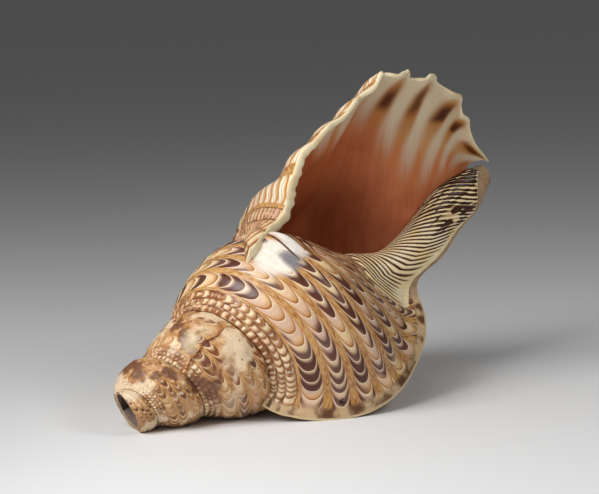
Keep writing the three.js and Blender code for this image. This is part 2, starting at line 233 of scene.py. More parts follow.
def unit(v):
    return v / np.linalg.norm(v, axis=-1, keepdims=True)


def grow_r(theta):
    return GROWTH_R ** (theta / TURN)


def grow_h(theta):
    return GROWTH_H ** (theta / TURN)


def whorl_point(theta, s):
    outline = whorl_curve(s)
    return polar(outline[..., 0] * grow_r(theta), outline[..., 1] * grow_h(theta), theta)


def neck_point(theta, h, gap):
    shape = neck_curve(h)
    a = theta + LIP_CLOCK
    x = shape[..., 0] + (shape[..., 1] + gap) * np.cos(a)
    y = (shape[..., 2] + gap) * np.sin(a)
    return np.stack([x, y, h], -1)


def base_point(theta, v, gap, rise, end_h, fill):
    """From a whorl's lower end (v = 0) round its base to the end of the canal (v = 1)."""
    start = whorl_point(theta, np.ones_like(theta))
    join_h = np.maximum(NECK_JOIN_H, start[..., 2] + rise)
    join = neck_point(theta, join_h, gap)
    reach = np.linalg.norm(join - start, axis=-1, keepdims=True) * fill
    leave = polar(WHORL_END_SLOPE[0] * grow_r(theta), WHORL_END_SLOPE[1] * grow_h(theta), theta)
    leave = unit(leave) * reach * 1.1
    arrive = unit(neck_point(theta, join_h + 1, gap) - join) * reach
    u = np.clip(v / NECK_JOIN, 0, 1)[..., None]
    base = (2 * u**3 - 3 * u**2 + 1) * start + (u**3 - 2 * u**2 + u) * leave
    base += (-2 * u**3 + 3 * u**2) * join + (u**3 - u**2) * arrive
    along = np.clip((v - NECK_JOIN) / (1 - NECK_JOIN), 0, 1)
    neck = neck_point(theta, join_h + (end_h - join_h) * along, gap)
    return np.where((v <= NECK_JOIN)[..., None], base, neck)


def edge_offset(curve, s, plain, theta):
    """How far an edge curve lies outside the plain surface: outward, and along the axis."""
    edge = curve(s)
    return edge[..., 0] - (plain * spoke(theta)).sum(-1), edge[..., 1] - plain[..., 2]


# The growth up to the flange


def core_plain(theta, s):
    whorl = whorl_point(theta, np.minimum(s, 1))
    base = base_point(theta, np.clip(s - 1, 0, 1), 0 * s, 60, CORE_END_H, 0.9)
    return np.where((s <= 1)[..., None], whorl, base)


def swell(theta, at):
    back = theta - at
    slow = np.clip((back + SWELL) / SWELL, 0, 1) ** 2
    fin = np.clip((back + FIN) / FIN, 0, 1) ** 1.3
    return (back <= 1e-9) * (SWELL_SHARE * slow + (1 - SWELL_SHARE) * fin)


def crack_line(s):
    """The wandering edge of the old lip on the spire."""
    line = CRACK_AT + CRACK_BEND * np.maximum(1 - 2 * s, 0) ** CRACK_BEND_POWER
    for height, rate, shift in CRACK_WAVES:
        line = line + height * np.sin(rate * s + shift)
    return DEG * line


def core_shape(theta, s):
    p = core_plain(theta, s)
    flange = np.full_like(theta, FLANGE_AT)
    out, down = edge_offset(flange_curve, s, core_plain(flange, s), flange)
    now = swell(theta, FLANGE_AT) * ease(s, 0, FLANGE_RUN_IN)
    p = push(p, theta, now * out, now * down)
    fade = np.sin(np.clip(s, 0, 1) * math.pi) ** 0.5
    for count, amount in OLD_FLANGES:
        at = crack_line(s) if count == CRACK_COUNT else count * FLANGE_AT
        old = swell(theta, at) * amount * fade * grow_r((count - 1) * FLANGE_AT)
        p = push(p, theta, old * out, old * down)
    for at, half, depth in TURN_DENTS:
        p = push(p, theta, -depth * bump(theta, at, half) * fade, 0 * s)
    callus = CALLUS_RISE * bump(theta, CALLUS_AT, CALLUS_SPAN) * bump(s, 1.0, 0.32)
    return push(p, theta, callus, 0 * s)


# The last whorl's outside, from the flange to the flared lip


def wall_plain(theta, s):
    whorl = whorl_point(theta, np.minimum(s, 1))
    buried = BURIED * (1 - ease(theta, WALL_START, -200 * DEG))
    gap = WALL_GAP + CANAL_GAP * ease(theta, CANAL_OPENS, 0) - buried
    base = base_point(theta, np.clip(s - 1, 0, 1), gap, 62, WALL_END_H, 0.95)
    return np.where((s <= 1)[..., None], whorl, base)


def wall_shape(theta, s):
    p = wall_plain(theta, s)
    settle = bump(theta, -SETTLE_SPAN / 2, SETTLE_SPAN / 2) * (1 - ease(s, 0.7, 1.4))
    waist = bump(theta, -WAIST_SPAN / 2, WAIST_SPAN / 2) * bump(s, 0.85, 0.75)
    nip = ease(-theta, 0, 20 * DEG) * (1 - ease(-theta, 85 * DEG, 150 * DEG))
    nip = nip * ease(s, 0.27, 0.6) * (1 - ease(s, 0.85, 1.15))
    p = push(p, theta, -WAIST_IN * waist - NIP_IN * nip, SETTLE_DROP * settle)
    lip = np.zeros_like(theta)
    out, down = edge_offset(lip_curve, s, wall_plain(lip, s), lip)
    flare = np.maximum(theta / LIP_FLARE + 1, 0) ** LIP_FLARE_POWER
    p = push(p, theta, flare * out, flare * down)
    risen = ROOT_RISE * ease(theta, -20 * DEG, 0) * (1 - ease(s, 0.02, 0.2))
    tucked = ROOT_TUCK * (1 - ease(s, 0, 0.14)) - risen
    at, half, depth = WALL_FLAT
    return push(p, theta, -tucked - depth * bump(theta, at, half) * (1 - ease(s, 1.0, 1.6)), 0 * s)


# Relief

# One crescent's angle, the beads to a crescent, the bow of a crescent and the shift from cord to cord.
UNIT = 11.5 * DEG
BEADS = 1.5
ARC = 0.95
ARC_POWER = 2.4
CORD_SHIFT = 0.37
# Shares of the spacing that the broad, the beaded and the thin cords take.
BROAD = 0.68
BEADED = 0.78
THIN = 0.24
# Where growth slowed, in degrees: (angle, crowding, span).
GROWTH_STOPS = [(0, 1.6, 30), (-240, 2.2, 16), (-480, 0.6, 15), (CRACK_AT, 0.5, 12)]


def phase_table():
    """Crescent count against growth angle, crowding before each stop and before the lip."""
    theta = np.linspace(-5 * TURN, 0.2, 20000)
    crowd = np.zeros_like(theta)
    for stop, amount, span in GROWTH_STOPS:
        back = stop * DEG - theta
        crowd += amount * np.exp(-np.abs(back) / (np.where(back >= 0, span, 2) * DEG))
    rate = (1 + crowd) / UNIT
    count = np.concatenate([[0], np.cumsum((rate[1:] + rate[:-1]) / 2 * np.diff(theta))])
    return theta, count


PHASE_THETA, PHASE_COUNT = phase_table()


def growth_phase(theta):
    return np.interp(theta, PHASE_THETA, PHASE_COUNT)


def cord_relief(theta, s):
    """Height of the spiral cords and their beads, in millimetres at the lip's scale."""
    q = cord_curve(s)[..., 0]
    near = np.round(q)
    a = (q - near) / 0.5
    beaded = near <= 0
    broad = np.clip(1 - (a / np.where(beaded, BEADED, BROAD)) ** 2, 0, 1) ** 0.8
    thin = np.clip(1 - ((1 - np.abs(a)) / THIN) ** 2, 0, 1) * (q > 0.6)
    t = growth_phase(theta)
    bead = np.abs(np.sin(math.pi * (t * BEADS + CORD_SHIFT * near)))
    height = np.select([near <= -2, beaded], [2.9, 2.2], 1.55)
    scale = np.where(beaded, 0.2 + 0.8 * bead**0.8, 1.0)
    step = (t + CORD_SHIFT * near + ARC * np.abs(a / BROAD) ** ARC_POWER) % 1
    imbricate = np.where(beaded, 0, 0.3 * step)
    return (height * scale + imbricate) * broad + 0.45 * thin


def seam_window(s):
    return ease(s, 0, 0.02) * ease(np.abs(s - 1), 0, 0.02)


def core_relief(theta, s):
    worn = 0.9 + 0.1 * ease(theta, -700 * DEG, -600 * DEG)
    flat = 1 - 0.75 * swell(theta, FLANGE_AT) ** 3
    callus = bump(theta, -340 * DEG, CALLUS_SPAN) * bump(s, 0.8, 0.4)
    shield = ease(s, 1.25, 1.4)
    keep = (1 - 0.9 * callus) * (1 - shield) * flat * worn
    lumps = np.sin(7 * theta + 9 * s) * np.sin(17 * theta - 13 * s) + np.sin(11 * theta + 23 * s + 2)
    lumps = lumps * 0.8 * ease(theta, -520 * DEG, -620 * DEG)
    return (cord_relief(theta, s) + lumps) * grow_r(theta) * seam_window(s) * keep


def surface_normal(shape, theta, s, tiny=1e-3):
    side = np.clip(s, 0.004, 1.996)
    across = shape(theta + tiny, side) - shape(theta - tiny, side)
    along = shape(theta, side + tiny) - shape(theta, side - tiny)
    return unit(np.cross(across, along))


# Meshes: each is a closed skin whose corners carry two UV maps and whose faces carry a finish.

FINISHES = ["outside", "inside", "rim", "shield", "cut", "hole"]
OUTSIDE, INSIDE, RIM, SHIELD, CUT, HOLE = range(len(FINISHES))


class Skin:
    """Collects grids and fans of faces, with the growth and place coordinates of every face corner."""

    def __init__(self):
        self.points = []
        self.count = 0
        self.faces = []
        self.grow = []
        self.place = []
        self.finish = []

    def add(self, points):
        """Adds an array of points and returns their numbers in the same shape."""
        flat = points.reshape(-1, 3)
        numbers = self.count + np.arange(len(flat))
        self.points.append(flat)
        self.count += len(flat)
        return numbers.reshape(points.shape[:-1])

    def quads(self, corners, grow, place, finish):
        """Splits (n, 4) corners into triangles; grow and place are the corners' (n, 4, 2) coordinates."""
        for pick in ([0, 1, 2], [0, 2, 3]):
            tri = corners.reshape(-1, 4)[:, pick]
            whole = (tri[:, 0] != tri[:, 1]) & (tri[:, 1] != tri[:, 2]) & (tri[:, 2] != tri[:, 0])
            self.faces.append(tri[whole])
            self.grow.append(grow.reshape(-1, 4, 2)[whole][:, pick])
            self.place.append(place.reshape(-1, 4, 2)[whole][:, pick])
            self.finish.append(np.full(whole.sum(), finish))

    def grid(self, numbers, grow, place, finish, flip=False):
        """Quads between neighbouring rows and columns of a grid of point numbers."""
        def corners(v):
            four = [v[:-1, :-1], v[1:, :-1], v[1:, 1:], v[:-1, 1:]]
            return np.stack(four[::-1] if flip else four, 2)
        self.quads(corners(numbers), corners(grow), corners(place), finish)

    def zip(self, left, right, finish):
        """A strip between two columns with different steps of s; each is its numbers, growth and place."""
        i = 0
        j = 0
        while i < len(left[0]) - 1 or j < len(right[0]) - 1:
            next_left = left[2][i + 1, 1] if i < len(left[0]) - 1 else math.inf
            next_right = right[2][j + 1, 1] if j < len(right[0]) - 1 else math.inf
            if next_left < next_right:
                rows = [v[[i, i + 1]] for v in left], [v[[j, j]] for v in right]
                i += 1
            else:
                rows = [v[[i, i]] for v in left], [v[[j, j + 1]] for v in right]
                j += 1
            corner, grow, place = (np.stack(pair) for pair in zip(*rows))
            self.grid(corner, grow, place, finish)

    def lids(self, numbers, grow, place, finish):
        """Closes the two open sides of a folded sheet, each point joined to the one opposite."""
        half = len(numbers) // 2
        for column, flip in ((0, True), (-1, False)):
            pairs = []
            for v in (numbers, grow, place):
                pairs.append(np.stack([v[:half, column], v[::-1, column][:half]], 1))
            self.grid(*pairs, finish, flip)

    def fan(self, ring, centre, finish, flip=False):
        """Triangles from a line of points to one centre, with no growth or place."""
        pair = np.stack([ring, np.full(len(ring), centre)], 1)
        flat = np.zeros(pair.shape + (2,))
        self.grid(pair, flat, flat, finish, flip)

    def build(self, name):
        points = np.concatenate(self.points)
        faces = np.concatenate(self.faces)
        grow = np.concatenate(self.grow)
        place = np.concatenate(self.place)
        finish = np.concatenate(self.finish)
        mesh = bpy.data.meshes.new(name)
        mesh.from_pydata(to_row(points).tolist(), [], faces.tolist())
        for label, values in (("grow", grow), ("place", place)):
            layer = mesh.uv_layers.new(name=label)
            layer.data.foreach_set("uv", values.ravel())
        for label in FINISHES:
            mesh.materials.append(bpy.data.materials[label])
        mesh.polygons.foreach_set("material_index", finish)
        cleaned = bmesh.new()
        cleaned.from_mesh(mesh)
        bmesh.ops.remove_doubles(cleaned, verts=cleaned.verts, dist=1e-6)
        cleaned.to_mesh(mesh)
        cleaned.free()
        thing = bpy.data.objects.new(name, mesh)
        bpy.context.scene.collection.objects.link(thing)
        return thing


def row_axes():
    axis = np.array((math.cos(AXIS_RISE), 0, math.sin(AXIS_RISE)))
    up = np.array((-math.sin(AXIS_RISE), 0, math.cos(AXIS_RISE)))
    side = np.cross(axis, up)
    first = math.cos(AXIS_ROLL) * up + math.sin(AXIS_ROLL) * side
    return np.stack([first, np.cross(axis, first), axis])


ROW_AXES = row_axes()


def to_row(points):
    return (points @ ROW_AXES + APEX) * MM


def maps(theta, s):
    """The two UV maps of a surface: (crescent count, cord count) and (angle in turns, s)."""
    grow = np.stack([growth_phase(theta), cord_curve(s)[..., 0]], -1)
    return grow, np.stack([theta / TURN, s], -1)


# Rows of points on each turn back from the flange and on the base, and columns, closer near the flange.
CORE_ROWS = {1: 52, 2: 34, 3: 24, 4: 14}
BASE_ROWS = 34
WIDE_COLUMNS = 230
FINE_COLUMNS = 25
FINE_FROM = 345


def core_side(rows):
    """Steps of s over one whorl, closer under the seam where the beads are."""
    v = np.linspace(0, 1, rows + 1)
    return 0.62 * v + 0.38 * v**2.2


def core_skin():
    """Columns of points over one full turn, ending at the flange, with the earlier turns stacked above."""
    skin = Skin()
    wide = np.linspace(0, FINE_FROM, WIDE_COLUMNS + 1)[:-1]
    fine = np.linspace(FINE_FROM, 360, FINE_COLUMNS + 1)
    clock = FLANGE_AT + np.concatenate([wide, fine]) * DEG
    after = None
    for whorl, rows in CORE_ROWS.items():
        side = core_side(rows)
        if whorl == 1:
            side = np.concatenate([side, 1 + np.linspace(0, 1, BASE_ROWS + 1)[1:]])
        columns = clock if whorl == 1 else clock[:-1]
        theta, s = np.meshgrid(columns - whorl * TURN, side, indexing="ij")
        normal = surface_normal(core_shape, theta, s)
        numbers = skin.add(core_shape(theta, s) + normal * core_relief(theta, s)[..., None])
        grow, place = maps(theta, s)
        skin.grid(numbers, grow, place, OUTSIDE)
        if whorl == 1:
            edge = numbers[-1]
            inner = np.concatenate([np.full(rows, numbers[0, rows]), numbers[0, rows:]])
            step = np.stack([edge, inner])
            skin.grid(step, np.stack([grow[-1]] * 2), np.stack([place[-1]] * 2), OUTSIDE)
            canal = numbers[:, -1]
        else:
            skin.zip([v[-1] for v in (numbers, grow, place)], after, OUTSIDE)
        after = [v[0, : rows + 1] for v in (numbers, grow, place)]
    top = skin.add(np.array([[0, 0, core_shape(theta[:1, 0], s[:1, 0])[0, 2] - 6]]))[0]
    bottom = skin.add(np.array([[neck_curve(np.array(CORE_END_H))[0], 0, CORE_END_H + 2]]))[0]
    first = np.concatenate([numbers[0, ::-1], numbers[1:, 0], numbers[0, -1:]])
    skin.fan(first, top, CUT, flip=True)
    skin.fan(np.concatenate([canal, inner[-1:]]), bottom, CUT)
    return skin.build("core")


WALL_ROWS = 140
WALL_COLUMNS = 120
LIP_THICK = 7.5
# Length of one tooth of the rim, in s, and the angles of the rows that round it.
LIP_TEETH = 0.055
LIP_ROUND = (35, 72, 108, 145)


def lip_end(s):
    """Angle at which the wall ends: a little earlier between the tips of the lip."""
    n = tip_curve(s)[..., 0] - 1e-6
    after = n - np.floor(n)
    notch = (1 - after) * ease(after, 0, 0.12)
    depth = 0.5 + 1.2 * ease(s, 0.7, 1.1) + 1.0 * ease(s, 1.15, 1.35) - 1.1 * ease(s, 1.45, 1.6)
    reach = 2.8 * ease(s, 1.6, 1.77) + 2.6 * ease(s, 1.8, 1.88) - 2 * ease(s, 1.9, 2)
    reach = reach + 8 * (1 - ease(s, 0, 0.12))
    return DEG * (reach - depth * notch)


def lip_flute(theta, s):
    """The lip's waves, a rib outside at each tip."""
    n = tip_curve(s)[..., 0]
    near = 1 - ease(-theta, 0, 30 * DEG)
    depth = 0.7 + 1.5 * ease(s, 0.75, 1.1) * (1 - 0.6 * ease(s, 1.85, 2.0))
    return depth * near * np.cos(TURN * n) * ease(s, 0.1, 0.3)


def wall_thickness(theta, s):
    near = 1 - ease(-theta, 0, 16 * DEG)
    rolled = 1 - ease(s, 0.2, 0.8)
    thin = 0.7 * ease(s, 1.0, 1.3)
    teeth = 0.8 * np.sin(TURN * s / LIP_TEETH) * rolled
    return WALL + near * ((LIP_THICK - WALL) * rolled + teeth - thin)


def wall_skin():
    """A closed sheet: out along the outside, round the lip's edge and back along the inside."""
    skin = Skin()
    u = 1 - (1 - np.linspace(0, 1, WALL_COLUMNS)) ** 1.35
    side = np.concatenate([[-0.05], 2 * np.linspace(0, 1, WALL_ROWS + 1) ** 1.25])
    share, s = np.meshgrid(u, side, indexing="ij")
    held = np.maximum(s, 0)
    theta = WALL_START + (lip_end(held) - WALL_START) * share
    normal = surface_normal(wall_shape, theta, held)
    middle = wall_shape(theta, held) + normal * lip_flute(theta, held)[..., None]
    seam_s = np.maximum(held, 0.01)
    run = unit(wall_shape(theta, seam_s) - wall_shape(theta, seam_s - 0.005))
    middle = middle + (run * 100 + normal * 130) * np.minimum(s, 0)[..., None]
    keep = 1 - 0.7 * (1 - ease(-theta, 0, 6 * DEG))
    relief = cord_relief(theta, held) * grow_r(theta) * seam_window(held) * (1 - ease(s, 1.5, 1.9)) * keep
    thick = wall_thickness(theta, held)[..., None]
    outside = middle + normal * relief[..., None]
    inside = middle - normal * thick
    forward = unit(wall_shape(theta[-1], held[-1]) - wall_shape(theta[-1] - 0.01, held[-1]))
    centre = (outside[-1] + inside[-1]) / 2
    half = (outside[-1] - inside[-1]) / 2
    reach = 0.4 * np.linalg.norm(half, axis=-1, keepdims=True)
    arc = []
    for angle in LIP_ROUND:
        arc.append(centre + half * math.cos(angle * DEG) + forward * reach * math.sin(angle * DEG))
    loop = np.concatenate([outside, np.stack(arc), inside[::-1]])
    around = np.concatenate([theta, np.repeat(theta[-1:], len(arc), 0), theta[::-1]])
    across = np.repeat(held[:1], len(loop), 0)
    numbers = skin.add(loop)
    grow, place = maps(around, across)
    turned = len(u)
    back_from = turned + len(arc)
    rim = slice(turned - 1, back_from + 1)
    skin.grid(numbers[:turned], grow[:turned], place[:turned], OUTSIDE)
    skin.grid(numbers[rim], grow[rim], place[rim], RIM)
    ribs = np.stack([tip_curve(across)[..., 0], (lip_end(across) - around) / DEG], -1)
    skin.grid(numbers[back_from:], ribs[back_from:], place[back_from:], INSIDE)
    skin.lids(numbers, grow, place, RIM)
    back = [0, -1]
    skin.grid(numbers[back], grow[back], place[back], RIM, flip=True)
    return skin.build("wall")


# Callus shield on the columella: its span in degrees, less NARROWED at the canal's end, its span in s,
# the line where it starts (angle, s), and its fine ridges (s, count).
SHIELD_FROM = -430
SHIELD_TO = -243.5
SHIELD_SIDE = (1.14, 1.985)
NARROWS = (1.87, 1.99)
NARROWED = 100
SHIELD_START = [(SHIELD_FROM, 1.42), (-345, 1.38), (-300, 1.29), (-270, 1.26), (-240, 1.28)]
LIRAE = [
    (1.0, -3), (1.2, 2), (1.35, 6), (1.45, 9), (1.55, 12.5),
    (1.65, 19), (1.75, 25), (1.85, 30), (2.0, 36.5),
]
shield_curve = spline(SHIELD_START)
lira_curve = spline(LIRAE)


def shield_skin():
    """A layer over the columella that sinks under the surface at its border."""
    skin = Skin()
    around = np.linspace(SHIELD_FROM, SHIELD_TO, 100) * DEG
    side = np.linspace(*SHIELD_SIDE, 230)
    theta, s = np.meshgrid(around, side, indexing="ij")
    begin = shield_curve(theta / DEG)[..., 0]
    inside = ease(s, begin - 0.015, begin + 0.03) * ease(s, SHIELD_SIDE[1], 1.965)
    edge = SHIELD_TO * DEG - NARROWED * DEG * ease(s, *NARROWS)
    inside = inside * ease(theta, SHIELD_FROM * DEG, -415 * DEG) * (1 - ease(theta, edge - 3.5 * DEG, edge))
    climb = 0.135 * ease(s, 1.4, 1.8) * (theta / DEG + 345) / 100
    lira = lira_curve(s - climb)[..., 0]
    margin = 1 - ease(theta, -285 * DEG, -256 * DEG)
    ridge = np.abs(np.cos(math.pi * lira)) ** 0.6 * (0.25 + 0.75 * margin)
    lift = -0.6 + inside * (1.3 + 0.6 * ridge)
    normal = surface_normal(core_shape, theta, s)
    numbers = skin.add(core_shape(theta, s) + normal * lift[..., None])
    grow = np.stack([lira, margin], -1)
    place = np.stack([theta / TURN, s], -1)
    skin.grid(numbers, grow, place, SHIELD)
    ends = [-1, 0]
    skin.grid(numbers[ends], grow[ends], place[ends], SHIELD)
    skin.lids(numbers, grow, place, SHIELD)
    return skin.build("shield")


def ring_solid(name, rings, finish):
    """A closed tube through rings of points, capped at both ends."""
    skin = Skin()
    numbers = skin.add(rings)
    closed = np.concatenate([numbers, numbers[:, :1]], 1)
    deep = np.full(closed.shape + (2,), 90.0)
    skin.grid(closed, deep, deep / 90, finish)
    skin.fan(closed[0], skin.add(rings[0].mean(0)[None])[0], finish)
    skin.fan(closed[-1], skin.add(rings[-1].mean(0)[None])[0], finish, flip=True)
    return skin.build(name)


def bore_solid():
    theta = np.linspace(BORE_FROM, BORE_TO, 120)
    a = np.linspace(0, TURN, 20, endpoint=False)
    around, angle = np.meshgrid(theta, a, indexing="ij")
    r = (BORE_CENTRE[0] + BORE_HALF[0] * np.cos(angle)) * grow_r(around - FLANGE_AT)
    h = (BORE_CENTRE[1] + BORE_HALF[1] * np.sin(angle)) * grow_h(around - FLANGE_AT)
    return ring_solid("bore", polar(r, h, around), INSIDE)


def turned_solid(name, profile, finish, sides=48):
    """A solid turned around the shell's axis from (radius, h) points."""
    rows = np.array(profile, float)
    a = np.linspace(0, TURN, sides, endpoint=False)
    rings = [polar(np.full(sides, r), np.full(sides, h), a) for r, h in rows[::-1]]
    return ring_solid(name, np.stack(rings), finish)


def blow_hole_solid():
    profile = [(BLOW_HOLE_R, TIP_H - 12)]
    for angle in range(0, 80, 15):
        a = angle * DEG
        profile.append((BLOW_HOLE_R * math.cos(a), BLOW_HOLE_H + BLOW_HOLE_R * math.sin(a)))
    return turned_solid("blow_hole", profile, HOLE)


def tip_cutter():
    """A block whose face is the plane of the cut."""
    lean = spoke(np.array(TIP_LEAN_CLOCK - LIP_CLOCK))
    normal = math.cos(TIP_LEAN) * np.array((0, 0, 1)) + math.sin(TIP_LEAN) * lean
    first = unit(np.cross(normal, np.array((1, 0, 0))))
    second = np.cross(normal, first)
    tip = np.array((0, 0, TIP_H))
    corners = ((-1, -1), (1, -1), (1, 1), (-1, 1))
    half_side = 70
    rings = []
    for depth in (0, -60):
        ring = [tip + normal * depth + half_side * (x * first + y * second) for x, y in corners]
        rings.append(np.stack(ring))
    return ring_solid("tip_cutter", np.stack(rings), CUT)


def combine(target, tool, operation):
    """Joins the tool to the target, or cuts it away, and removes the tool."""
    step = target.modifiers.new(operation, "BOOLEAN")
    step.object = tool
    step.operation = operation
    step.solver = "MANIFOLD"
    shown = target.evaluated_get(bpy.context.evaluated_depsgraph_get())
    result = bpy.data.meshes.new_from_object(shown)
    target.modifiers.clear()
    target.data = result
    bpy.data.objects.remove(tool)


def shell_object():
    shell = core_skin()
    combine(shell, shield_skin(), "UNION")
    combine(shell, bore_solid(), "DIFFERENCE")
    combine(shell, wall_skin(), "UNION")
    combine(shell, blow_hole_solid(), "DIFFERENCE")
    combine(shell, tip_cutter(), "DIFFERENCE")
    # The underside is worn flat on the floor.
    for vertex in shell.data.vertices:
        vertex.co.z = max(vertex.co.z, 0)
    shell.data.polygons.foreach_set("use_smooth", [True] * len(shell.data.polygons))
    shell.data.set_sharp_from_angle(angle=55 * DEG)
    shell.name = "conch_shell"
    return shell


# Finishes


class Value:
    """A socket of a material's node tree that can be used in formulas."""

    def __init__(self, tree, socket):
        self.tree = tree
        self.socket = socket

    def feed(self, target, value):
        if isinstance(value, Value):
            self.tree.links.new(value.socket, target)
        else:
            target.default_value = value

    def node(self, kind, inputs, output=0, **settings):
        """Adds a node, sets or links its inputs and returns one output."""
        made = self.tree.nodes.new(kind)
        for name, setting in settings.items():
            setattr(made, name, setting)
        for key, value in inputs.items():
            self.feed(made.inputs[key], value)
        return Value(self.tree, made.outputs[output])

    def math(self, operation, *values):
        return self.node("ShaderNodeMath", dict(enumerate((self, *values))), operation=operation)

    def __add__(self, other):
        return self.math("ADD", other)

    def __sub__(self, other):
        return self.math("SUBTRACT", other)

    def __mul__(self, other):
        return self.math("MULTIPLY", other)

    def __truediv__(self, other):
        return self.math("DIVIDE", other)

    def floor(self):
        return self.math("FLOOR")

    def abs(self):
        return self.math("ABSOLUTE")

    def sin(self):
        return self.math("SINE")

    def less(self, other):
        return self.math("LESS_THAN", other)

    def most(self, other):
        return self.math("MAXIMUM", other)

    def flip(self):
        return self * -1 + 1

    def rise(self, start, end):
        """0 before start and 1 after end, smooth between; falls where end is before start."""
        limits = {"Value": self, "From Min": start, "From Max": end}
        return self.node("ShaderNodeMapRange", limits, interpolation_type="SMOOTHSTEP")

    def hump(self, centre, half):
        return ((self - centre).abs()).rise(half, 0)

    def vector(self, y=0.0, z=0.0):
        return self.node("ShaderNodeCombineXYZ", {0: self, 1: y, 2: z})

    def noise(self, scale, detail=2.0):
        """Smooth noise, about 0 to 1, of a vector."""
        return self.node("ShaderNodeTexNoise", {"Vector": self, "Scale": scale, "Detail": detail})

    def chance(self):
        """A random number for each vector."""
        return self.node("ShaderNodeTexWhiteNoise", {"Vector": self})

    def mix(self, first, second):
        """Blends two colours by this value; the node's colour sockets are inputs 6 and 7 and output 2."""
        made = self.tree.nodes.new("ShaderNodeMix")
        made.data_type = "RGBA"
        self.feed(made.inputs["Factor"], self)
        for number, colour in ((6, first), (7, second)):
            self.feed(made.inputs[number], colour if isinstance(colour, Value) else (*colour, 1))
        return Value(self.tree, made.outputs[2])


class Finish:
    """A material with a Principled shader and the coordinates that its formulas use."""

    def __init__(self, name):
        self.material = bpy.data.materials.new(name)
        self.material.use_nodes = True
        self.tree = self.material.node_tree
        self.shader = self.tree.nodes["Principled BSDF"]
        start = Value(self.tree, None)
        self.place_m = start.node("ShaderNodeTexCoord", {}, output="Object")
        self.grow = self.split("grow")
        self.place = self.split("place")

    def split(self, label):
        start = Value(self.tree, None)
        both = start.node("ShaderNodeUVMap", {}, uv_map=label)
        parts = both.node("ShaderNodeSeparateXYZ", {0: both})
        owner = parts.socket.node
        return parts, Value(self.tree, owner.outputs[1])

    def set(self, colour, rough, height, depth, gloss=0.3):
        value = Value(self.tree, None)
        value.feed(self.shader.inputs["Base Color"], colour)
        value.feed(self.shader.inputs["Roughness"], rough)
        self.shader.inputs["Specular IOR Level"].default_value = gloss
        normal = value.node("ShaderNodeBump", {"Height": height, "Distance": depth, "Strength": 1.0})
        value.feed(self.shader.inputs["Normal"], normal)


CREAM = (0.80, 0.58, 0.31)
WHITE = (0.90, 0.80, 0.62)
PINKISH = (0.68, 0.45, 0.33)
TAN = (0.58, 0.29, 0.095)
OCHRE = (0.52, 0.205, 0.035)
ORANGE_BROWN = (0.30, 0.08, 0.014)
DARK_BROWN = (0.085, 0.02, 0.009)
DARK_GREY = (0.14, 0.062, 0.05)
WORN = (0.56, 0.30, 0.13)
PURPLE_BROWN = (0.13, 0.042, 0.02)


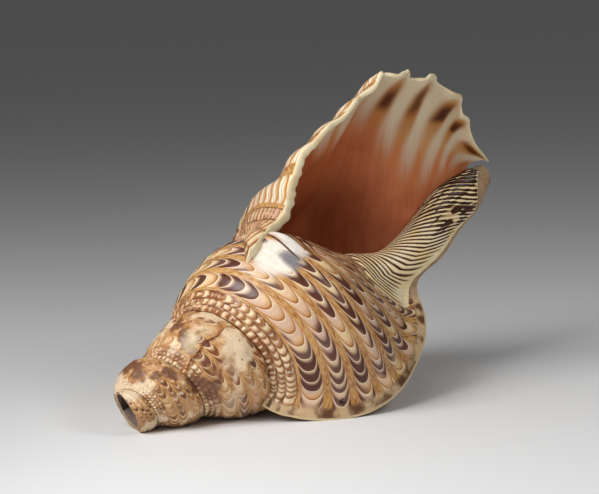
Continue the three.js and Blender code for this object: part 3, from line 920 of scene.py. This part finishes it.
def outside_finish():
    """Rows of crescents on the spiral cords, beads under the seam with a painted highlight on each and
    painted shade in the gaps between them, a banded flange and a pale callus.
    """
    f = Finish("outside")
    count, cords = f.grow
    turn, s = f.place
    angle = turn * 360
    cloud = f.place_m.noise(38, 3)
    grain = f.place_m.noise(260, 3)
    worn = f.place_m.noise(85, 4)
    cord = (cords + 0.5).floor()
    a = (cords - cord) * 2
    side = a.abs()
    beaded = cords.less(0.5)
    lip = angle.rise(-48, -24)
    old = angle.rise(-575, -650)

    # Crescents on the broad cords.
    arc = (side / BROAD).math("POWER", ARC_POWER) * (lip * -0.5 + old * -0.35 + 1) * ARC
    phase = count + cord * CORD_SHIFT + arc + (cloud - 0.5) * 0.35
    unit_no = phase.floor()
    within = phase - unit_no
    luck = unit_no.vector(cord).chance()
    tint = (unit_no + 31.7).vector(cord).chance()
    patch = (count * 0.21).vector(cords * 0.5).noise(1.0, 1)
    dark = (patch * 0.75 + luck * 0.42 + old * 0.03).rise(0.495, 0.57) * (lip * -0.8 + 1)
    shade = (within - tint * 0.3).rise(-0.1, 0.38)
    pale = cloud.rise(0.35, 0.65).mix(PINKISH, CREAM)
    rough_pale = worn.rise(0.4, 0.62).mix((0.78, 0.54, 0.29), WORN)
    pale = old.mix(lip.mix(pale, WHITE), rough_pale)
    deep = old.mix(tint.mix(DARK_BROWN, DARK_GREY), tint.mix(PURPLE_BROWN, ORANGE_BROWN))
    warm = (within.rise(0.35, 0.85) * 0.8).mix(pale, TAN)
    inner = (dark * shade).mix(warm, deep)
    outline = (within + lip * 0.1).rise(0.76, 0.94)
    inner = (outline * (dark * -0.7 + 0.9)).mix(inner, (lip + tint * 0.6).mix(ORANGE_BROWN, OCHRE))
    inner = (within.rise(0.13, 0.02) * 0.7).mix(inner, WHITE)
    brick = count * 2.5 + cord * 0.5 + (worn - 0.5) * 0.5
    brick_in = brick - brick.floor()
    inner = (lip * brick_in.rise(0.62, 0.92) * 0.85).mix(inner, tint.mix(OCHRE, TAN))

    # Thin cords in the grooves, with small crescents.
    small = count * 1.5 + (side - 1) * (side - 1) * 16
    small_no = small.floor()
    small_in = small - small_no
    small_dark = small_no.vector(cord, 9.0).chance().rise(0.55, 0.65) * 0.8
    thin = grain.rise(0.3, 0.6).mix((0.46, 0.22, 0.07), (0.62, 0.37, 0.15))
    thin = (small_in.rise(0.25, 0.8) * small_dark).mix(thin, ORANGE_BROWN)
    thin = (small_in.rise(0.7, 0.95) * 0.75).mix(thin, OCHRE)
    colour = side.rise(BROAD - 0.06, BROAD + 0.04).mix(inner, thin)
    edge = side.hump(BROAD + 0.02, 0.07) * (grain * 0.8 + 0.2)
    colour = (edge * 0.75).mix(colour, OCHRE)

    # Beads, each with a painted highlight, and painted shade deepening the brown gaps between them.
    bead_bow = side * side * 0.45 * cord.rise(-1.6, -0.6)
    bead = count * BEADS + cord * CORD_SHIFT + (worn - 0.5) * 0.8 + bead_bow
    bead_no = bead.floor()
    bead_luck = bead_no.vector(cord, 5.0).chance()
    bead_in = bead - bead_no
    bead_dull = bead_luck.mix((0.68, 0.43, 0.21), PINKISH)
    bead_top = worn.rise(0.3, 0.65).mix((0.86, 0.66, 0.40), bead_dull)
    bead_top = (dark * bead_luck.rise(0.3, 0.6)).mix(bead_top, tint.mix(PURPLE_BROWN, ORANGE_BROWN))
    lower = (bead_in + (grain - 0.5) * 0.3).rise(0.45, 0.95)
    bead_top = lower.mix(bead_top, bead_luck.mix(ORANGE_BROWN, (0.46, 0.21, 0.07)))
    # Painted highlight: a pale cream spot on the middle of each bead's crown.
    bead_top = (bead_in.hump(0.3, 0.3) * side.rise(0.7, 0.2) * 0.6).mix(bead_top, (0.86, 0.70, 0.47))
    # The gaps between the beads and beside the bead rows: the shell's dark brown, deepened by painted shade
    # in these recesses.
    notch = (bead_in - 0.5).abs().rise(0.4, 0.49) * 0.8
    between = (side + (grain - 0.5) * 0.4).rise(0.7, 1.0).most(notch)
    gap = grain.rise(0.35, 0.6).mix((0.32, 0.14, 0.045), (0.11, 0.033, 0.010))
    colour = beaded.mix(colour, between.mix(bead_top, gap))

    # Wear and stains on the older turns.
    colour = (old * worn.rise(0.45, 0.62) * 0.45).mix(colour, WORN)
    stain = f.place_m.noise(58, 3)
    stained = stain.rise(0.54, 0.63).mix(TAN, PURPLE_BROWN)
    colour = (old * stain.rise(0.53, 0.6) * 0.85).mix(colour, stained)
    chalk = f.place_m.noise(47, 3)
    colour = (old * chalk.rise(0.53, 0.62) * 0.75).mix(colour, (0.88, 0.70, 0.48))
    pit = f.place_m.noise(420, 1).rise(0.68, 0.75) * old
    colour = (pit * 0.7).mix(colour, DARK_BROWN)

    # Flange, banded along its edge.
    flange = angle.rise(-244.4, -242.6) * angle.less(-239.9)
    band = ((cords * TURN - TURN / 4).sin() * 0.35 + (worn - 0.5) * 3.2).rise(-0.3, 0.4)
    banded = band.mix((0.60, 0.42, 0.23), (0.13, 0.055, 0.022))
    banded = angle.rise(-240.8, -240.4).mix(banded, (0.66, 0.50, 0.28))
    colour = flange.mix(colour, banded)

    # Black flecks and a faint ring on the flange.
    fleck = angle.hump(-245, 1.8) * s.hump(0.5, 0.03) * f.place_m.noise(500, 2).rise(0.46, 0.52)
    colour = fleck.rise(0.05, 0.3).mix(colour, (0.012, 0.010, 0.010))
    ring = ((angle + 243.6) / 0.9).math("POWER", 2) + ((s - 0.665) / 0.016).math("POWER", 2)
    colour = (ring.hump(1, 0.7) * 0.5).mix(colour, (0.14, 0.08, 0.04))

    # Canal behind the shield.
    canal = s.rise(1.3, 1.45) * (angle.less(-240) * 0.55 + 0.35)
    colour = canal.mix(colour, worn.mix((0.30, 0.18, 0.10), (0.50, 0.36, 0.22)))

    # Crack left by an old lip, with a smooth worn patch before it.
    past = angle - (s * -2 + 1).most(0).math("POWER", CRACK_BEND_POWER) * CRACK_BEND
    for height, rate, shift in CRACK_WAVES:
        past = past - (s * rate + shift).sin() * height
    past = past - CRACK_AT
    on_turn = s.rise(0.01, 0.03) * s.rise(0.99, 0.97)
    smooth_patch = past.hump(-13, 14) * past.less(0) * s.hump(0.5, 0.45) * worn.rise(0.3, 0.5)
    colour = (smooth_patch * 0.85).mix(colour, grain.mix((0.66, 0.50, 0.28), (0.80, 0.66, 0.44)))
    colour = (past.rise(-3.5, -1) * past.less(0) * on_turn * 0.7).mix(colour, OCHRE)
    colour = (past.abs().rise(0.5, 0.1) * on_turn * worn.rise(0.25, 0.45)).mix(colour, DARK_BROWN)

    # Callus glaze beside the mouth.
    away = ((angle + 337) / 15).math("POWER", 2) + ((s - 0.74) / 0.22).math("POWER", 2)
    callus = (away + (cloud - 0.5) * 1.6).rise(1.3, 0.4)
    spot = ((angle + 328) / 12).math("POWER", 2) + ((s - 0.80) / 0.09).math("POWER", 2)
    blue = (spot + (worn - 0.5) * 1.2).rise(1.4, 0.5)
    colour = (callus * 0.92).mix(colour, blue.mix((0.86, 0.79, 0.68), (0.21, 0.21, 0.235)))
    beside = angle.rise(-372, -364) * angle.rise(-326, -338)
    across = s + (angle + 340) * 0.0025 + 0.045
    ridge = (across.hump(0.975, 0.06) * 1.6).math("MINIMUM", 1) * beside
    colour = ridge.mix(colour, (0.90, 0.84, 0.76))
    lines = across.hump(0.915, 0.014).most(across.hump(1.03, 0.014)).most(across.hump(1.065, 0.013))
    lines = lines.most(across.hump(1.10, 0.012))
    colour = (lines * beside * 1.4).math("MINIMUM", 0.95).mix(colour, DARK_BROWN)

    # Seams.
    seam = s.rise(0.012, 0.002).most(s.rise(0.985, 0.996) * s.less(1.0) * angle.less(-395)) * lip.flip()
    colour = (seam * 0.9).mix(colour, (0.04, 0.02, 0.01))
    colour = (grain.rise(0.5, 0.75) * 0.15).mix(colour, ORANGE_BROWN)
    rough = callus * -0.1 + old * 0.12 + grain * 0.12 + 0.25
    f.set(colour, rough, grain * 0.5 + within * beaded.flip() * 0.5, 0.0003, 0.4)


def inside_finish():
    """Deep rust brown that turns to white ribs with brown grooves at the lip; darker on the seam side and
    lighter toward the canal, partly the shell's colour and partly painted shade.
    """
    f = Finish("inside")
    tips, depth = f.grow
    s = f.place[1]
    cloud = f.place_m.noise(30, 3)
    streak = (tips * 6).vector(depth * 0.02).noise(1.6, 3)
    shifted = tips + 0.2 + depth * s.rise(1.0, 1.6) * 0.025
    to_groove = (shifted - (shifted + 0.5).floor()).abs() * 2
    reach = s.rise(0.45, 0.95) * 20 + s.rise(1.15, 1.75) * 38 + 7
    far = depth / reach + (streak - 0.5) * 0.3
    white = (to_groove + (streak - 0.5) * 0.3).rise(0.05, 0.75) * far.rise(1.1, 0.2)
    ridge = far.rise(0, 0.8).mix((0.80, 0.67, 0.45), (0.70, 0.55, 0.43))
    groove = far.rise(0.1, 0.7).mix((0.66, 0.42, 0.18), (0.62, 0.21, 0.06))
    ribbed = white.mix(groove, ridge)
    groove_luck = ((shifted + 0.5).floor()).vector(3.0).chance()
    halo = to_groove.rise(0.9, 0.25) * depth.rise(1, 5) * depth.rise(26, 9) * s.rise(0.8, 1.0)
    ribbed = (halo * 0.95).mix(ribbed, (0.50, 0.17, 0.025))
    at = groove_luck * 4 + 6 + (cloud - 0.5) * 6
    blotch = to_groove.rise(0.75, 0.15) * (depth - at).abs().rise(6, 1.5) * s.rise(1.0, 1.25)
    ribbed = (blotch * (groove_luck * 0.35 + 0.75)).mix(ribbed, (0.10, 0.022, 0.004))
    ribbed = depth.rise(2.4, 0.6).mix(ribbed, (0.82, 0.70, 0.48))
    # From dark rust on the seam side to light terracotta toward the canal: partly the shell's own colour
    # and partly painted shade on the side that faces away from the light.
    warm = s.rise(0.4, 1.6).mix((0.46, 0.11, 0.032), (0.74, 0.23, 0.095))
    warm = (cloud.rise(0.35, 0.7) * 0.35 + streak.rise(0.4, 0.65) * 0.14).mix(warm, (0.30, 0.06, 0.017))
    colour = (far - to_groove * 0.25).rise(0.35, 1.15).mix(ribbed, warm)
    x = f.place_m.node("ShaderNodeSeparateXYZ", {0: f.place_m})
    colour = x.rise(-0.1, -0.13).mix(colour, (0.24, 0.165, 0.13))
    f.set(colour, streak * 0.1 + 0.42, streak, 0.0002, 0.2)


def rim_finish():
    f = Finish("rim")
    cloud = f.place_m.noise(90, 3)
    colour = cloud.rise(0.35, 0.7).mix((0.86, 0.74, 0.50), (0.76, 0.58, 0.32))
    f.set(colour, cloud * 0.15 + 0.22, cloud, 0.0004)


def shield_finish():
    """White ridges with dark grooves between them and dark patches towards the canal."""
    f = Finish("shield")
    lira = f.grow[0]
    turn, s = f.place
    angle = turn * 360
    cloud = f.place_m.noise(70, 2)
    no = lira.floor()
    across = (lira - no - 0.5).abs() * 2
    luck = no.vector().chance()
    end = s.rise(1.66, 1.8)
    inward = s.rise(*NARROWS) * -NARROWED + SHIELD_TO - angle + luck * -14 * end.flip() + cloud * 8 - 4
    taper = (inward / (end * -12 + 26)).rise(0.1, 1)
    merged = (lira * 0.22).vector(angle * 0.05, 8.0).noise(1.0, 1) + s.rise(1.72, 1.9) * 0.12
    merged = merged.rise(0.52, 0.64) * end
    width = taper * (luck * 0.25 + 0.24) * (end * 0.55 + merged * 1.6 + 1)
    line = (across - width).rise(0.14, -0.14) * taper.rise(0.02, 0.2)
    bare = (lira * 0.3).vector(angle * 0.03, 4.0).noise(1.0, 1).rise(0.56, 0.6)
    bare = bare * angle.rise(-330, -290) * end
    line = line * bare.flip()
    pale = cloud.rise(0.3, 0.7).mix((0.98, 0.87, 0.60), (0.96, 0.75, 0.40))
    tinted = (taper * across.rise(0.8, 0.4) * 0.6).mix(pale, OCHRE)
    colour = line.mix(tinted, luck.mix((0.025, 0.006, 0.003), (0.06, 0.018, 0.008)))
    f.set(colour, cloud * 0.1 + 0.25, across, 0.0002)


def cut_finish():
    f = Finish("cut")
    cloud = f.place_m.noise(160, 3)
    colour = cloud.rise(0.35, 0.65).mix((0.50, 0.33, 0.17), (0.26, 0.13, 0.055))
    f.set(colour, cloud * 0.2 + 0.5, cloud, 0.0005)


def hole_finish():
    f = Finish("hole")
    cloud = f.place_m.noise(120, 3)
    colour = cloud.rise(0.3, 0.7).mix((0.30, 0.22, 0.18), (0.20, 0.135, 0.11))
    f.set(colour, cloud * 0.2 + 0.55, cloud, 0.0004)


outside_finish()
inside_finish()
rim_finish()
shield_finish()
cut_finish()
hole_finish()

shell = shell_object()
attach(shell, "root")
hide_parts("shell")


# Floor, light and camera

CAMERA_AT = (-0.89696, -1.06771, 0.29816)
CAMERA_TURN = (81.938, 0.868, -39.736)
CAMERA_LENS = 128.07


def make_floor():
    mesh = bpy.data.meshes.new("floor")
    mesh.from_pydata([(-20, -20, 0), (20, -20, 0), (20, 20, 0), (-20, 20, 0)], [], [(0, 1, 2, 3)])
    floor = bpy.data.objects.new("floor", mesh)
    paper = bpy.data.materials.new("floor_paper")
    paper.use_nodes = True
    shader = paper.node_tree.nodes["Principled BSDF"]
    shader.inputs["Base Color"].default_value = (0.8, 0.8, 0.8, 1)
    shader.inputs["Roughness"].default_value = 0.8
    mesh.materials.append(paper)
    bpy.context.scene.collection.objects.link(floor)


def make_light(name, at, target, size, power):
    lamp = bpy.data.lights.new(name, "AREA")
    lamp.energy = power
    lamp.size = size
    thing = bpy.data.objects.new(name, lamp)
    thing.location = at
    thing.rotation_euler = (Vector(target) - Vector(at)).to_track_quat("-Z", "Y").to_euler()
    bpy.context.scene.collection.objects.link(thing)


def make_camera():
    lens = bpy.data.cameras.new("camera")
    lens.lens = CAMERA_LENS
    lens.sensor_width = 36
    view = bpy.data.objects.new("camera", lens)
    view.location = CAMERA_AT
    view.rotation_euler = Euler([a * DEG for a in CAMERA_TURN])
    bpy.context.scene.collection.objects.link(view)
    bpy.context.scene.camera = view


make_floor()
make_light("key", (-0.85, -0.05, 0.75), (0, 0, 0.08), 0.6, 9.3)
make_light("panel", (-0.48, -0.47, 0.7), (1.5, -2.26, 0), 1.2, 3.6)
make_light("fill", (-0.3, -1.6, 0.5), (0, 0, 0.08), 1.2, 0.5)
make_light("right", (0.3, -0.75, 0.8), (0.1, -0.02, 0.14), 0.3, 2.2)
make_camera()
world = bpy.data.worlds.new("studio")
world.use_nodes = True
world.node_tree.nodes["Background"].inputs["Color"].default_value = (0.5, 0.5, 0.5, 1)
world.node_tree.nodes["Background"].inputs["Strength"].default_value = 0.175
bpy.context.scene.world = world
bpy.context.scene.view_settings.view_transform = "Standard"
